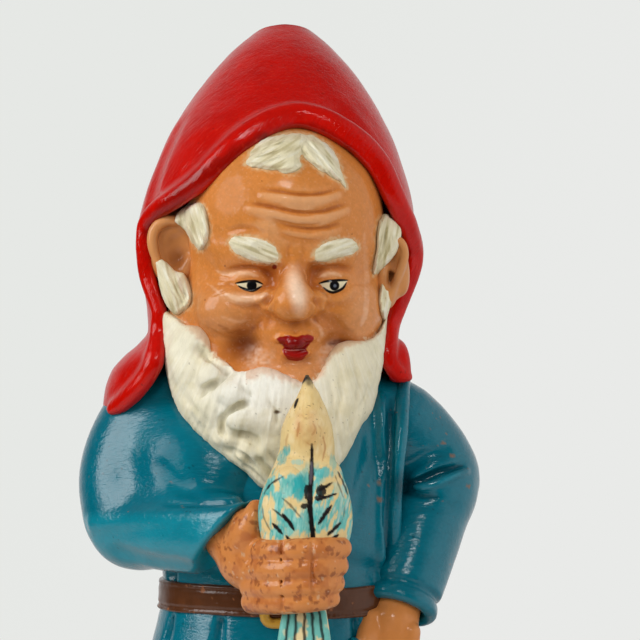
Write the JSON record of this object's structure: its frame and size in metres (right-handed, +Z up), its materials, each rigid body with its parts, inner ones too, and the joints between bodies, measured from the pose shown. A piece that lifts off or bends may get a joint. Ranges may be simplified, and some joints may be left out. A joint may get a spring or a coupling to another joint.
{
  "type": "garden gnome",
  "caption": "Standing garden gnome in a red hood and blue coat, one hand in the pocket, the other holding a small bird up to the face.",
  "frame": {"origin": "middle of the flat underside of the base", "axes": "+Z up, -Y the way the figure faces, +X to the figure's own left hand"},
  "size_m": [0.196, 0.1788, 0.451],
  "materials": {
    "paint_red": "gloss oil paint, red, over fired clay",
    "paint_teal": "gloss oil paint, petrol blue, over fired clay",
    "paint_skin": "gloss oil paint, tan, shaded darker in the hollows",
    "paint_cream": "satin oil paint, off-white, over fired clay",
    "paint_bird": "satin oil paint, cream yellow with turquoise and black strokes",
    "paint_wing": "satin oil paint, turquoise over cream with black strokes",
    "paint_trousers": "gloss oil paint, brown",
    "paint_boots": "gloss oil paint, dark brown",
    "paint_belt": "gloss oil paint, dark brown",
    "paint_ochre": "satin oil paint, ochre",
    "paint_green": "satin oil paint, grass green"
  },
  "bodies": {
    "root": {"base": "paint_green", "boot_right": "paint_boots", "boot_left": "paint_boots", "trouser_leg_right": "paint_trousers", "trouser_leg_left": "paint_trousers", "coat_body": "paint_teal", "belt": "paint_belt", "belt_buckle": "paint_ochre", "belt_prong": "paint_ochre", "coat_pocket_left": "paint_teal", "sleeve_right": "paint_teal", "sleeve_left": "paint_teal", "hand_right": "paint_skin", "hand_left": "paint_skin", "head": "paint_skin", "ear_right": "paint_skin", "ear_left": "paint_skin", "beard": "paint_cream", "forelock": "paint_cream", "side_hair_right": "paint_cream", "side_hair_left": "paint_cream", "eyebrow_right": "paint_cream", "eyebrow_left": "paint_cream", "hood": "paint_red", "bird_body": "paint_bird", "bird_wing_right": "paint_wing", "bird_wing_left": "paint_wing", "bird_tail": "paint_wing"}
  },
  "joints": []
}
